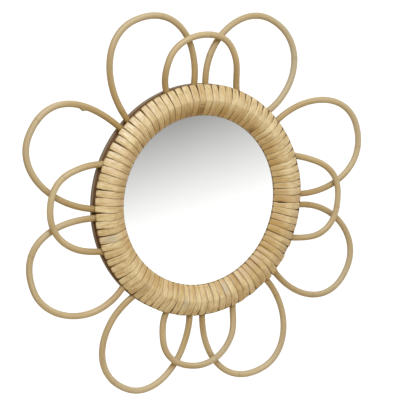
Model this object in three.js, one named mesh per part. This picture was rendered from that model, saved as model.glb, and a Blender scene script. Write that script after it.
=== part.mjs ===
// Flower-shaped wall mirror: a round glass in a ring bound with rattan peel, with bent cane loops as petals.
// Millimetres, +Z up. The wall is the plane y = 0, the front faces -Y, and the origin is the centre of the
// board's back. A depth is a distance from the wall, and an angle runs counter-clockwise from +X seen from
// the front.

import * as THREE from 'three';

// Clearance left between pieces that touch
const GAP = 0.3;

// Backing board and mirror glass
const BOARD_RADIUS = 147;
const BOARD_THICKNESS = 6;
const GLASS_RADIUS = 113;
const GLASS_THICKNESS = 6;
const EASED_EDGE = 0.8;
const DISC_SEGMENTS = 60;

// Cane, whose feet lie on the board
const CANE_RADIUS = 4;
const CANE_SIDES = 8;
const CANE_DEPTH = BOARD_THICKNESS + GAP + CANE_RADIUS;

// Wrapped ring: a slope up from the glass, a crease, a rounder slope down to the outer edge, and a flat back
// on the canes
const RING_FOOT_RADIUS = 107;
const RING_OUTER_RADIUS = 147.4;
const RING_SEAT_RADIUS = 118;
const RING_SEAT_SLOPE = 5;
const RING_BACK_INSET = 2;
const RING_EDGE_DEPTH = 15.1;
const RING_CREASE = { radius: 127.4, depth: 25.3 };
const RING_FOOT_PULL = { radius: 111.5, depth: 17.5 };
const RING_SLOPE_PULL = { radius: 119, depth: 23 };
const RING_SHOULDER = { radius: 140, depth: 22.2 };
const RING_HEEL_DEPTH = BOARD_THICKNESS + GLASS_THICKNESS + 2 * GAP;
const RING_BACK_DEPTH = CANE_DEPTH + CANE_RADIUS + GAP;
const RING_HEART = { radius: 126, depth: 14 };

// Strips of peel round the ring: each one's trailing edge rides up on the next. The winding runs ahead of an
// even pitch, most of all at the drift's angle, and sways.
const STRIP_COUNT = 90;
const STRIP_RISE = 0.9;
const STRIP_EDGE_ANGLE = 0.2;
const STRIP_DRIFT = { mean: 1.9, size: 1.5, angle: 148 };
const STRIP_SWAY_ANGLE = 0.15;
const STRIP_SWAY_RATE = 2.6;

// Loops leave the ring at the foot circle, and their hidden ends lie between the board and the ring.
// By the level circle they stand at their full distance in front of the feet.
const FOOT_CIRCLE = 150;
const FOOT_HIDDEN = 18;
const LEVEL_CIRCLE = 185;
const PATH_SAMPLES = 48;

// How a loop bends: the lengths by which the feet and the two sides of the tip hold their direction, and how
// far in front of its feet the loop lies
const LARGE_BEND = { footPull: 56, tipPulls: [57, 43], forward: -1, steps: 27 };
const SMALL_BEND = { footPull: 52, tipPulls: [30, 25], forward: 7.4, steps: 22 };

// Each loop was bent by hand, so each has its own reach from the centre, lean of the tip along the turn,
// angles from its axis to its first and second foot, and turns of those feet away from straight out
const LARGE_LOOPS = [
  { name: 'large_loop_1', axis: 22.5, reach: 250.5, lean: -5, feet: [22, 19], turns: [1, -4] },
  { name: 'large_loop_2', axis: 67.5, reach: 246.5, lean: -1, feet: [19, 21], turns: [14, 1] },
  { name: 'large_loop_3', axis: 112.5, reach: 244, lean: 2, feet: [18, 22], turns: [10, -8] },
  { name: 'large_loop_4', axis: 157.5, reach: 248, lean: 7, feet: [17.5, 23.5], turns: [-1, -8] },
  { name: 'large_loop_5', axis: 202.5, reach: 244.5, lean: 6, feet: [17, 22], turns: [3, 9] },
  { name: 'large_loop_6', axis: 247.5, reach: 253, lean: 1, feet: [16, 18.5], turns: [16, 2] },
  { name: 'large_loop_7', axis: 292.5, reach: 248.5, lean: 7, feet: [19.5, 20.5], turns: [0, 2] },
  { name: 'large_loop_8', axis: 337.5, reach: 250.5, lean: -5.5, feet: [18.5, 17.5], turns: [9, 5] },
];
const SMALL_LOOPS = [
  { name: 'small_loop_right', axis: 0, reach: 204, lean: -3, feet: [22, 20], turns: [-17, -30] },
  { name: 'small_loop_top', axis: 90, reach: 208, lean: -1, feet: [19, 20], turns: [-24, -4] },
  { name: 'small_loop_left', axis: 180, reach: 207, lean: 2, feet: [20, 22], turns: [-22, -25] },
  { name: 'small_loop_bottom', axis: 270, reach: 211.5, lean: -1, feet: [17.5, 20.5], turns: [6, -18] },
];

// Finishes
const STAINED_BOARD = new THREE.MeshStandardMaterial({ color: 0x5a4030, roughness: 0.7, metalness: 0 });
const SILVERED_GLASS = new THREE.MeshStandardMaterial({ color: 0xe6e8e8, roughness: 0.02, metalness: 1 });
const RATTAN_PEEL = new THREE.MeshStandardMaterial({ color: 0xd9bd8b, roughness: 0.5, metalness: 0 });
const RATTAN_CANE = new THREE.MeshStandardMaterial({ color: 0xcfb088, roughness: 0.55, metalness: 0 });

function mesh(name, geometry, material) {
  const piece = new THREE.Mesh(geometry, material);
  piece.name = name;
  return piece;
}

// Point of a lathe profile at a radius and a depth
function profilePoint(radius, depth) {
  return new THREE.Vector2(radius, -depth);
}

// Flat disc with its back at one depth, its front at another, and eased edges
function disc(radius, backDepth, frontDepth) {
  const profile = [
    profilePoint(0, frontDepth),
    profilePoint(radius - EASED_EDGE, frontDepth),
    profilePoint(radius, frontDepth - EASED_EDGE),
    profilePoint(radius, backDepth + EASED_EDGE),
    profilePoint(radius - EASED_EDGE, backDepth),
    profilePoint(0, backDepth),
  ];
  return new THREE.LatheGeometry(profile, DISC_SEGMENTS);
}

// Closed section of the wrapped ring: the inner slope up from the glass to the crease, the outer slope over
// the shoulder to the edge, and the back
function ringProfile() {
  const crease = new THREE.Vector2(RING_CREASE.radius, RING_CREASE.depth);
  const innerSlope = new THREE.CubicBezierCurve(
    new THREE.Vector2(RING_FOOT_RADIUS, RING_HEEL_DEPTH),
    new THREE.Vector2(RING_FOOT_PULL.radius, RING_FOOT_PULL.depth),
    new THREE.Vector2(RING_SLOPE_PULL.radius, RING_SLOPE_PULL.depth),
    crease,
  );
  const outerSlope = new THREE.QuadraticBezierCurve(
    crease,
    new THREE.Vector2(RING_SHOULDER.radius, RING_SHOULDER.depth),
    new THREE.Vector2(RING_OUTER_RADIUS, RING_EDGE_DEPTH),
  );
  const front = [...innerSlope.getPoints(4), ...outerSlope.getPoints(3).slice(1)];
  const back = [
    profilePoint(RING_OUTER_RADIUS - RING_BACK_INSET, RING_BACK_DEPTH),
    profilePoint(RING_SEAT_RADIUS + RING_SEAT_SLOPE, RING_BACK_DEPTH),
    profilePoint(RING_SEAT_RADIUS, RING_HEEL_DEPTH),
  ];
  const section = [...front.map((p) => profilePoint(p.x, p.y)), ...back];
  return [...section, section[0].clone()].reverse();
}

// Angle at which a strip of peel starts: an even pitch with the drift and sway of hand winding. The strip
// after the last is the first, a full turn on.
function stripStart(index) {
  const even = (360 / STRIP_COUNT) * index;
  const fromPeak = THREE.MathUtils.degToRad(even - STRIP_DRIFT.angle);
  const drift = STRIP_DRIFT.mean + STRIP_DRIFT.size * Math.cos(fromPeak);
  const sway = STRIP_SWAY_ANGLE * Math.sin(STRIP_SWAY_RATE * (index % STRIP_COUNT));
  return even + drift + sway;
}

// The ring turned with two columns for each strip, which are then moved to the strip's two edges. The front
// of the second edge is lifted away from the section's heart, so every seam is a step.
function wrappedRing() {
  const columns = 2 * STRIP_COUNT;
  const profile = ringProfile();
  const geometry = new THREE.LatheGeometry(profile, columns);
  const position = geometry.attributes.position;
  const point = new THREE.Vector2();
  for (let column = 0; column <= columns; column += 1) {
    const strip = Math.floor(column / 2) % STRIP_COUNT;
    const lifted = column % 2 === 1;
    const degrees = lifted ? stripStart(strip + 1) - STRIP_EDGE_ANGLE : stripStart(strip) + STRIP_EDGE_ANGLE;
    const angle = THREE.MathUtils.degToRad(degrees);
    profile.forEach((corner, row) => {
      point.copy(corner);
      const onFront = -corner.y > RING_EDGE_DEPTH - GAP;
      if (lifted && onFront) {
        const outward = corner.clone().sub(profilePoint(RING_HEART.radius, RING_HEART.depth)).normalize();
        point.addScaledVector(outward, STRIP_RISE);
      }
      const index = column * profile.length + row;
      position.setXYZ(index, point.x * Math.cos(angle), point.y, point.x * Math.sin(angle));
    });
  }
  return geometry;
}

// Centre line of a loop in the plane of the wall: hidden end, foot, tip, foot, hidden end
function loopOutline(loop, bend) {
  const axis = THREE.MathUtils.degToRad(loop.axis);
  const tipPoint = new THREE.Vector2(loop.reach, loop.lean);
  const sides = [-1, 1].map((side, index) => {
    const footAngle = THREE.MathUtils.degToRad(loop.feet[index]);
    const heading = footAngle + THREE.MathUtils.degToRad(loop.turns[index]);
    const foot = new THREE.Vector2(Math.cos(footAngle), side * Math.sin(footAngle));
    foot.multiplyScalar(FOOT_CIRCLE);
    const out = new THREE.Vector2(Math.cos(heading), side * Math.sin(heading));
    return {
      foot,
      end: foot.clone().addScaledVector(out, -FOOT_HIDDEN),
      footHandle: foot.clone().addScaledVector(out, bend.footPull),
      tipHandle: tipPoint.clone().add(new THREE.Vector2(0, side * bend.tipPulls[index])),
    };
  });
  const [first, second] = sides;
  const outline = new THREE.CurvePath();
  outline.add(new THREE.LineCurve(first.end, first.foot));
  outline.add(new THREE.CubicBezierCurve(first.foot, first.footHandle, first.tipHandle, tipPoint));
  outline.add(new THREE.CubicBezierCurve(tipPoint, second.tipHandle, second.footHandle, second.foot));
  outline.add(new THREE.LineCurve(second.foot, second.end));
  return outline.getSpacedPoints(PATH_SAMPLES).map((p) => p.rotateAround(new THREE.Vector2(), axis));
}

// Round cane along a loop's centre line, which leaves the layer of the feet as it goes outwards
function caneLoop(loop, bend) {
  const points = loopOutline(loop, bend).map((p) => {
    const away = THREE.MathUtils.smoothstep(p.length(), FOOT_CIRCLE, LEVEL_CIRCLE);
    return new THREE.Vector3(p.x, -(CANE_DEPTH + bend.forward * away), p.y);
  });
  const section = new THREE.Shape();
  section.absarc(0, 0, CANE_RADIUS, 0, 2 * Math.PI);
  return new THREE.ExtrudeGeometry(section, {
    extrudePath: new THREE.CatmullRomCurve3(points),
    steps: bend.steps,
    curveSegments: CANE_SIDES / 2,
  });
}

const mirror = new THREE.Group();
mirror.add(mesh('backing_board', disc(BOARD_RADIUS, 0, BOARD_THICKNESS), STAINED_BOARD));
const glassBack = BOARD_THICKNESS + GAP;
mirror.add(mesh('mirror_glass', disc(GLASS_RADIUS, glassBack, glassBack + GLASS_THICKNESS), SILVERED_GLASS));
mirror.add(mesh('wrapped_ring', wrappedRing(), RATTAN_PEEL));
LARGE_LOOPS.forEach((loop) => mirror.add(mesh(loop.name, caneLoop(loop, LARGE_BEND), RATTAN_CANE)));
SMALL_LOOPS.forEach((loop) => mirror.add(mesh(loop.name, caneLoop(loop, SMALL_BEND), RATTAN_CANE)));

export default mirror;
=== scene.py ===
"""Looks of a flower-shaped rattan wall mirror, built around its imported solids.

The wall is the plane y = 0, the front faces -Y and +Z is up. Sizes are written in millimetres, a depth is a
distance from the wall, and an angle runs counter-clockwise from +X seen from the front.
"""
import logging
from dataclasses import dataclass, field
from enum import Enum

import bpy
import numpy as np
from mathutils import Matrix, Vector


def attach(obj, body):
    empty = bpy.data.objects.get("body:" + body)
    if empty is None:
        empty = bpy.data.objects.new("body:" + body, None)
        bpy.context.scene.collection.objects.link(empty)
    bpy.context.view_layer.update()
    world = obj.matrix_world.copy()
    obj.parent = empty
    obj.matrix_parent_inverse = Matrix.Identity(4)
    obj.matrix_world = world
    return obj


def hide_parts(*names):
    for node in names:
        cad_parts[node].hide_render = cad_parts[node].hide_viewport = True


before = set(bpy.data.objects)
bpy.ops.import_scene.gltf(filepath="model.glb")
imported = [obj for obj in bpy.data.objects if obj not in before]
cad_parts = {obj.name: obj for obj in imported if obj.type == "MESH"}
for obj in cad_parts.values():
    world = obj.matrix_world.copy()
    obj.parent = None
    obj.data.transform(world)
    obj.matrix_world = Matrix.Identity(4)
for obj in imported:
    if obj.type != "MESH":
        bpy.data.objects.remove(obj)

LOG = logging.getLogger("wall_mirror")
MM = 0.001
BODY = "root"
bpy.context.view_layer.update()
FULL_TURN = 2 * np.pi
# Strips and canes come from many stems, so the grain of each starts somewhere within this length.
STEM_LENGTH = 400.0
# A cane without the stub of a twig has it far off its end.
NO_STUB = -1.0


def to_linear(colour: str) -> tuple[float, float, float, float]:
    """Turn an sRGB hex colour into linear RGBA.

    Args:
        colour: colour written as #RRGGBB.

    Returns:
        The linear red, green, blue and an alpha of 1.
    """
    srgb = np.array([int(colour[i : i + 2], 16) for i in (1, 3, 5)]) / 255
    linear = np.where(srgb <= 0.04045, srgb / 12.92, ((srgb + 0.055) / 1.055) ** 2.4)
    return (*linear.tolist(), 1.0)


def add_node(tree: bpy.types.NodeTree, kind: str, inputs: dict, **settings) -> bpy.types.Node:
    """Add a node, set its properties, and set or link its sockets.

    Args:
        tree: node tree of a material or of the world.
        kind: Blender's name for the node's type.
        inputs: value, or the output socket to link, for each input's name or number.
        settings: properties of the node.

    Returns:
        The new node.
    """
    node = tree.nodes.new(kind)
    for name, value in settings.items():
        setattr(node, name, value)
    for key, value in inputs.items():
        if isinstance(value, bpy.types.NodeSocket):
            tree.links.new(value, node.inputs[key])
        else:
            node.inputs[key].default_value = value
    return node


def new_material(name: str) -> tuple[bpy.types.Material, bpy.types.NodeTree]:
    """Start a material that has no nodes yet.

    Args:
        name: name of the finish.

    Returns:
        The material and its node tree.
    """
    made = bpy.data.materials.new(name)
    made.use_nodes = True
    made.node_tree.nodes.clear()
    return made, made.node_tree


def smoothstep(value: np.ndarray, start: float, end: float) -> np.ndarray:
    """Ramp from 0 at the start to 1 at the end with level ends; it falls where the start is the higher."""
    t = np.clip((value - start) / (end - start), 0, 1)
    return t * t * (3 - 2 * t)


def bell(value: np.ndarray, centre: float, spread: float) -> np.ndarray:
    """Bump of height 1 at the centre that falls to 0.6 at one spread away."""
    return np.exp(-0.5 * ((value - centre) / spread) ** 2)


def nearest(degrees: np.ndarray, angle: float) -> int:
    """Number of the angle that lies nearest to the wanted one round the circle."""
    return int(np.argmin(np.abs((degrees - angle + 180) % 360 - 180)))


def path_lengths(points: np.ndarray) -> np.ndarray:
    """Length along a polyline at each of its corners."""
    steps = np.linalg.norm(np.diff(points, axis=0), axis=1)
    return np.concatenate([[0.0], np.cumsum(steps)])


def path_at(points: np.ndarray, wanted: np.ndarray) -> np.ndarray:
    """Points of a polyline at the wanted lengths along it."""
    along = path_lengths(points)
    return np.stack([np.interp(wanted, along, column) for column in points.T], axis=1)


def bezier(corners: np.ndarray, count: int) -> np.ndarray:
    """Points on a quadratic or cubic Bezier curve.

    Args:
        corners: its three or four control points, one row each.
        count: number of points, evenly spaced in the parameter.

    Returns:
        The points, by repeated division of the control polygon.
    """
    t = np.linspace(0, 1, count)[:, None, None]
    level = np.repeat(corners[None], count, axis=0)
    while level.shape[1] > 1:
        level = (1 - t) * level[:, :-1] + t * level[:, 1:]
    return level[:, 0]


def turned(profile: np.ndarray, columns: int) -> np.ndarray:
    """Turn a profile about Y: each of its points goes round a circle of its own radius.

    Args:
        profile: radius and depth of each row.
        columns: number of places round the circle.

    Returns:
        Places as (x, depth, z), shaped (1, rows, columns, 3).
    """
    angle = np.linspace(0, FULL_TURN, columns, endpoint=False)
    out = profile[:, :1] + 0 * angle
    deep = profile[:, 1:] + 0 * angle
    return np.stack([out * np.cos(angle), deep, out * np.sin(angle)], axis=-1)[None]


@dataclass
class Surface:
    """Closed skin over a grid of points, whose columns go round and whose rows run along.

    Attributes:
        points: places in millimetres as (x, depth, z), shaped (patches, rows, columns, 3).
        closed: whether the last row meets the first one; otherwise both end rows are capped.
        marks: values that the finish reads, each shaped (patches, rows, columns) or with 3 more.
        slot: which of the piece's materials it takes.
    """

    points: np.ndarray
    closed: bool
    marks: dict[str, np.ndarray] = field(default_factory=dict)
    slot: int = 0

    def numbers(self) -> np.ndarray:
        """Vertex numbers, shaped as the grid."""
        shape = self.points.shape[:3]
        return np.arange(np.prod(shape)).reshape(shape)

    def corners(self) -> np.ndarray:
        """Faces of the grid, turned so that they face outwards.

        Returns:
            Vertex numbers of the four corners of every face, one row each.
        """
        number = self.numbers()
        beside = np.roll(number, -1, axis=2)
        ahead = np.roll(number, -1, axis=1)
        both = np.roll(beside, -1, axis=1)
        faces = np.stack([number, beside, both, ahead], axis=-1)
        faces = faces if self.closed else faces[:, :-1]
        faces = faces.reshape(-1, 4)
        return faces if self.encloses(faces) > 0 else faces[:, ::-1]

    def caps(self) -> np.ndarray:
        """Caps on the end rows, facing outwards as the faces do.

        Returns:
            Vertex numbers round each capped end, one row each, or no row on a closed grid.
        """
        number = self.numbers()
        if self.closed:
            return number[:0, 0]
        flipped = self.corners()[0, 0] != 0
        first = number[:, 0] if flipped else number[:, 0, ::-1]
        last = number[:, -1, ::-1] if flipped else number[:, -1]
        return np.concatenate([first, last])

    def encloses(self, faces: np.ndarray) -> float:
        """Measure what the faces enclose, by the sum of the pyramids from the middle.

        Args:
            faces: vertex numbers of the corners of every face.

        Returns:
            A number that grows with the volume, and is negative if the faces point in.
        """
        spot = self.world().reshape(-1, 3)
        a, b, c, d = (spot[faces[:, i]] - spot.mean(axis=0) for i in range(4))
        return float(np.einsum("ij,ij->i", a + c, np.cross(b - a, d - a) + np.cross(d - c, b - c)).sum())

    def world(self) -> np.ndarray:
        """The points in metres, with depth turned to -Y."""
        return self.points * np.array([1, -1, 1]) * MM


def make_piece(name: str, surfaces: list[Surface], finishes: list[bpy.types.Material]) -> bpy.types.Object:
    """Join surfaces into one mesh object at the origin, smooth all over but for its flat caps.

    Args:
        name: name of the piece.
        surfaces: its skins, the first of which has every mark.
        finishes: its materials, by slot.

    Returns:
        The object, linked to the scene.
    """
    sizes = [surface.points.size // 3 for surface in surfaces]
    firsts = np.cumsum([0, *sizes[:-1]])
    faces = [surface.corners() + first for surface, first in zip(surfaces, firsts)]
    caps = [surface.caps() + first for surface, first in zip(surfaces, firsts)]
    groups = [*faces, *caps]
    slots = [surface.slot for surface in surfaces] * 2
    totals = np.concatenate([np.full(len(group), group.shape[1]) for group in groups])
    mesh = bpy.data.meshes.new(name)
    mesh.vertices.add(sum(sizes))
    mesh.vertices.foreach_set("co", np.concatenate([s.world().reshape(-1) for s in surfaces]))
    mesh.loops.add(int(totals.sum()))
    mesh.loops.foreach_set("vertex_index", np.concatenate([group.reshape(-1) for group in groups]))
    mesh.polygons.add(len(totals))
    mesh.polygons.foreach_set("loop_start", np.concatenate([[0], np.cumsum(totals)[:-1]]))
    slot_of = np.concatenate([np.full(len(group), slot) for group, slot in zip(groups, slots)])
    mesh.polygons.foreach_set("material_index", slot_of)
    mesh.polygons.foreach_set("use_smooth", totals == 4)
    for mark, sample in sorted(surfaces[0].marks.items()):
        parts = [s.marks.get(mark, np.zeros(s.points.shape[:3])) for s in surfaces]
        kind, key = ("FLOAT_VECTOR", "vector") if sample.ndim == 4 else ("FLOAT", "value")
        values = np.concatenate([part.reshape(-1) for part in parts])
        mesh.attributes.new(mark, kind, "POINT").data.foreach_set(key, values)
    mesh.update(calc_edges=True)
    mesh.validate()
    for finish in finishes:
        mesh.materials.append(finish)
    piece = bpy.data.objects.new(name, mesh)
    bpy.context.scene.collection.objects.link(piece)
    return piece


def place(piece: bpy.types.Object, node: str) -> bpy.types.Object:
    """Let a piece ride on the part and stand for its solid.

    Args:
        piece: the piece, which is where it belongs already.
        node: name of the solid that it stands for.

    Returns:
        The same piece.
    """
    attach(piece, BODY)
    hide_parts(node)
    return piece


@dataclass(frozen=True)
class Grain:
    """One scale of the fibres, patches or flecks of a stem: noise that is stretched along it.

    Attributes:
        width: size across the stem in millimetres.
        length: size along it.
        through: size into it.
        detail: number of finer layers in the noise.
        low: value of the noise from which the grain shows.
        high: value at which it shows in full.
        cover: how far it then hides what is under it.
    """

    width: float
    length: float
    through: float
    detail: float
    low: float
    high: float
    cover: float = 1.0

    def draw(self, tree: bpy.types.NodeTree, at: bpy.types.NodeSocket) -> tuple[bpy.types.NodeSocket, ...]:
        """Draw the grain in a finish.

        Args:
            tree: node tree of the finish.
            at: place on the stem in millimetres: across, along and into it.

        Returns:
            The noise itself, and how far the grain hides what is under it.
        """
        scale = (1 / self.width, 1 / self.length, 1 / self.through)
        stretched = add_node(tree, "ShaderNodeVectorMath", {0: at, 1: scale}, operation="MULTIPLY")
        noise = add_node(tree, "ShaderNodeTexNoise", {
            "Vector": stretched.outputs[0], "Scale": 1.0, "Detail": self.detail}).outputs["Fac"]
        shown = add_node(tree, "ShaderNodeMapRange", {
            "Value": noise, "From Min": self.low, "From Max": self.high, "To Max": self.cover})
        return noise, shown.outputs[0]


@dataclass(frozen=True)
class RattanPeel:
    """Rattan peel, the split outer skin of the palm: hard, satin, straw coloured, with long pale fibres.

    Each strip comes from another stem, so its tone drifts, its cut edges are darker, and where a leaf sat
    it has a greyish scar. Painted shadow lines darken its seams, and a painted sheen pales its crease.
    Real fibres are too fine to show, so they are drawn almost a millimetre wide.
    """

    pale: str = "#EEDBA9"
    straw: str = "#C8AB76"
    amber: str = "#AE8946"
    rose: str = "#CBA67E"
    fleck: str = "#EFE1C0"
    streak: str = "#A17E38"
    worn: str = "#E2D6B6"
    scar: str = "#B9AE92"
    stain: str = "#8A642F"
    knot: str = "#4A2E14"
    cut_edge_and_seam_shadow: str = "#6A430C"
    fibres: Grain = Grain(width=0.9, length=24, through=1, detail=3, low=0.34, high=0.66)
    patches: Grain = Grain(width=4, length=9, through=1, detail=2, low=0.42, high=0.75, cover=0.7)
    flecks: Grain = Grain(width=1.5, length=6, through=1, detail=2, low=0.5, high=0.72, cover=0.5)
    streaks: Grain = Grain(width=1.3, length=45, through=1, detail=1, low=0.52, high=0.68, cover=0.6)
    least_rough: float = 0.3
    most_rough: float = 0.5
    bump: float = 0.25
    relief: float = 0.25
    ior: float = 1.5

    def material(self) -> bpy.types.Material:
        """Build the finish: its grain follows the grain mark, and other marks lay their shades over it.

        Returns:
            The material.
        """
        made, tree = new_material("rattan_peel_satin")
        at = add_node(tree, "ShaderNodeAttribute", {}, attribute_name="grain").outputs["Vector"]
        where = add_node(tree, "ShaderNodeAttribute", {}, attribute_name="streak").outputs["Fac"]
        fibres, light = self.fibres.draw(tree, at)
        patches, cloud = self.patches.draw(tree, at)
        speck = self.flecks.draw(tree, at)[1]
        line = self.streaks.draw(tree, at)[1]
        drawn = add_node(tree, "ShaderNodeMath", {0: line, 1: where}, operation="MULTIPLY").outputs[0]
        layers = [(light, self.pale), (cloud, self.amber), (speck, self.fleck), (drawn, self.streak)]
        # The pale overlay on the crease is painted sheen, with some wear.
        overlays = {
            "tone": self.amber, "blush": self.rose, "worn": self.worn, "scar": self.scar,
            "stain": self.stain, "knot": self.knot, "edge": self.cut_edge_and_seam_shadow}
        # The edge overlay paints shadow lines along the seams, together with the darker cut edges.
        for mark, shade in overlays.items():
            amount = add_node(tree, "ShaderNodeAttribute", {}, attribute_name=mark).outputs["Fac"]
            layers.append((amount, shade))
        colour = to_linear(self.straw)
        for amount, shade in layers:
            mixed = add_node(tree, "ShaderNodeMix", {
                0: amount, 6: colour, 7: to_linear(shade)}, data_type="RGBA")
            colour = mixed.outputs[2]
        bump = add_node(tree, "ShaderNodeBump", {
            "Height": fibres, "Strength": self.bump, "Distance": self.relief * MM})
        gloss = add_node(tree, "ShaderNodeMapRange", {
            "Value": patches, "To Min": self.least_rough, "To Max": self.most_rough})
        shader = add_node(tree, "ShaderNodeBsdfPrincipled", {
            "Base Color": colour, "Roughness": gloss.outputs[0], "Normal": bump.outputs[0], "IOR": self.ior})
        add_node(tree, "ShaderNodeOutputMaterial", {"Surface": shader.outputs[0]})
        return made


@dataclass(frozen=True)
class RingBed:
    """Bast cord under the winding, seen only at the bottom of the gaps between strips: dull, and dark brown
    with painted shade of the gaps.
    """

    # Both colours are darkened as painted shade of the gaps between strips.
    deep: str = "#42290A"
    worn: str = "#634214"
    cord: float = 2.2
    roughness: float = 0.85

    def material(self) -> bpy.types.Material:
        """Build the finish, mottled at the width of a cord.

        Returns:
            The material.
        """
        made, tree = new_material("bast_cord_painted_shade")
        at = add_node(tree, "ShaderNodeTexCoord", {}).outputs["Object"]
        spots = add_node(tree, "ShaderNodeTexNoise", {"Vector": at, "Scale": 1 / (self.cord * MM)})
        colour = add_node(tree, "ShaderNodeMix", {
            0: spots.outputs["Fac"], 6: to_linear(self.deep), 7: to_linear(self.worn)}, data_type="RGBA")
        shader = add_node(tree, "ShaderNodeBsdfPrincipled", {
            "Base Color": colour.outputs[2], "Roughness": self.roughness})
        add_node(tree, "ShaderNodeOutputMaterial", {"Surface": shader.outputs[0]})
        return made


@dataclass(frozen=True)
class RattanCane:
    """Whole round rattan cane, scraped and unvarnished: matt straw with long fibres, browner at the nodes.

    Real fibres are too fine to show, so they are drawn almost a millimetre wide.
    """

    pale: str = "#D3BE92"
    straw: str = "#B59D6F"
    brown: str = "#9B793C"
    node: str = "#80643A"
    bleached: str = "#B5AA8E"
    fibres: Grain = Grain(width=0.8, length=40, through=0.8, detail=3, low=0.3, high=0.72)
    patches: Grain = Grain(width=6, length=60, through=6, detail=2, low=0.42, high=0.8, cover=0.6)
    roughness: float = 0.52
    bump: float = 0.25
    relief: float = 0.2
    ior: float = 1.5

    def material(self) -> bpy.types.Material:
        """Build the finish: its grain follows the grain mark, and other marks lay their shades over it.

        Returns:
            The material.
        """
        made, tree = new_material("rattan_cane_scraped")
        at = add_node(tree, "ShaderNodeAttribute", {}, attribute_name="grain").outputs["Vector"]
        fibres, light = self.fibres.draw(tree, at)
        cloud = self.patches.draw(tree, at)[1]
        layers = [(light, self.pale), (cloud, self.brown)]
        for mark, shade in {"tone": self.brown, "bleach": self.bleached, "scar": self.node}.items():
            amount = add_node(tree, "ShaderNodeAttribute", {}, attribute_name=mark).outputs["Fac"]
            layers.append((amount, shade))
        colour = to_linear(self.straw)
        for amount, shade in layers:
            mixed = add_node(tree, "ShaderNodeMix", {
                0: amount, 6: colour, 7: to_linear(shade)}, data_type="RGBA")
            colour = mixed.outputs[2]
        bump = add_node(tree, "ShaderNodeBump", {
            "Height": fibres, "Strength": self.bump, "Distance": self.relief * MM})
        shader = add_node(tree, "ShaderNodeBsdfPrincipled", {
            "Base Color": colour, "Roughness": self.roughness, "Normal": bump.outputs[0], "IOR": self.ior})
        add_node(tree, "ShaderNodeOutputMaterial", {"Surface": shader.outputs[0]})
        return made


@dataclass(frozen=True)
class StainedBoard:
    """Plywood, sawn round and stained: dark brown, matt, with a greyish sanded edge that shows its plies."""

    dark: str = "#684628"
    brown: str = "#86603A"
    rim: str = "#97856C"
    ply: str = "#62513E"
    grain_width: float = 3.0
    grain_length: float = 60.0
    grain_detail: float = 4.0
    grain_bend: float = 0.6
    ply_thickness: float = 1.6
    ply_detail: float = 1.0
    roughness: float = 0.68
    bump: float = 0.3
    relief: float = 0.2
    ior: float = 1.5

    def material(self) -> bpy.types.Material:
        """Build the finish: grain along X on both faces, and plies on the rim mark.

        Returns:
            The material.
        """
        made, tree = new_material("stained_plywood")
        at = add_node(tree, "ShaderNodeTexCoord", {}).outputs["Object"]
        rim = add_node(tree, "ShaderNodeAttribute", {}, attribute_name="rim").outputs["Fac"]
        grain = tuple(1 / (size * MM) for size in (self.grain_length, self.grain_width, self.grain_width))
        plies = (0.0, 1 / (self.ply_thickness * MM), 0.0)
        grain_at = add_node(tree, "ShaderNodeVectorMath", {0: at, 1: grain}, operation="MULTIPLY")
        plies_at = add_node(tree, "ShaderNodeVectorMath", {0: at, 1: plies}, operation="MULTIPLY")
        wood = add_node(tree, "ShaderNodeTexNoise", {
            "Vector": grain_at.outputs[0], "Scale": 1.0,
            "Detail": self.grain_detail, "Distortion": self.grain_bend})
        layers = add_node(tree, "ShaderNodeTexNoise", {
            "Vector": plies_at.outputs[0], "Scale": 1.0, "Detail": self.ply_detail})
        face = add_node(tree, "ShaderNodeMix", {
            0: wood.outputs["Fac"], 6: to_linear(self.dark), 7: to_linear(self.brown)}, data_type="RGBA")
        edge = add_node(tree, "ShaderNodeMix", {
            0: layers.outputs["Fac"], 6: to_linear(self.ply), 7: to_linear(self.rim)}, data_type="RGBA")
        colour = add_node(tree, "ShaderNodeMix", {
            0: rim, 6: face.outputs[2], 7: edge.outputs[2]}, data_type="RGBA")
        bump = add_node(tree, "ShaderNodeBump", {
            "Height": wood.outputs["Fac"], "Strength": self.bump, "Distance": self.relief * MM})
        shader = add_node(tree, "ShaderNodeBsdfPrincipled", {
            "Base Color": colour.outputs[2], "Roughness": self.roughness,
            "Normal": bump.outputs[0], "IOR": self.ior})
        add_node(tree, "ShaderNodeOutputMaterial", {"Surface": shader.outputs[0]})
        return made


@dataclass(frozen=True)
class SilveredGlass:
    """Float glass silvered behind: a clear, nearly perfect reflection, faintly greyer where it was wiped."""

    silver: str = "#F5F5F3"
    wiped: str = "#F1F1EF"
    smear: float = 45.0
    roughness: float = 0.006

    def material(self) -> bpy.types.Material:
        """Build the finish, with wide faint smears.

        Returns:
            The material.
        """
        made, tree = new_material("silvered_float_glass")
        at = add_node(tree, "ShaderNodeTexCoord", {}).outputs["Object"]
        smears = add_node(tree, "ShaderNodeTexNoise", {"Vector": at, "Scale": 1 / (self.smear * MM)})
        colour = add_node(tree, "ShaderNodeMix", {
            0: smears.outputs["Fac"], 6: to_linear(self.silver), 7: to_linear(self.wiped)}, data_type="RGBA")
        shader = add_node(tree, "ShaderNodeBsdfPrincipled", {
            "Base Color": colour.outputs[2], "Metallic": 1.0, "Roughness": self.roughness})
        add_node(tree, "ShaderNodeOutputMaterial", {"Surface": shader.outputs[0]})
        return made


class PeelSide(Enum):
    """Which skin of the winding a surface is."""

    STRIPS = 0
    BED = 1


class Blemish(Enum):
    """What can mar a strip of peel, by the name of the mark that the finish reads."""

    LEAF_SCAR = "scar"
    STAIN = "stain"
    KNOT = "knot"


@dataclass(frozen=True)
class Spot:
    """One blemish on the winding: its angle, radius and half length, how strong it is, and its half width."""

    kind: Blemish
    angle: float
    radius: float
    length: float
    strength: float = 0.8
    width: float = 4.0


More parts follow.
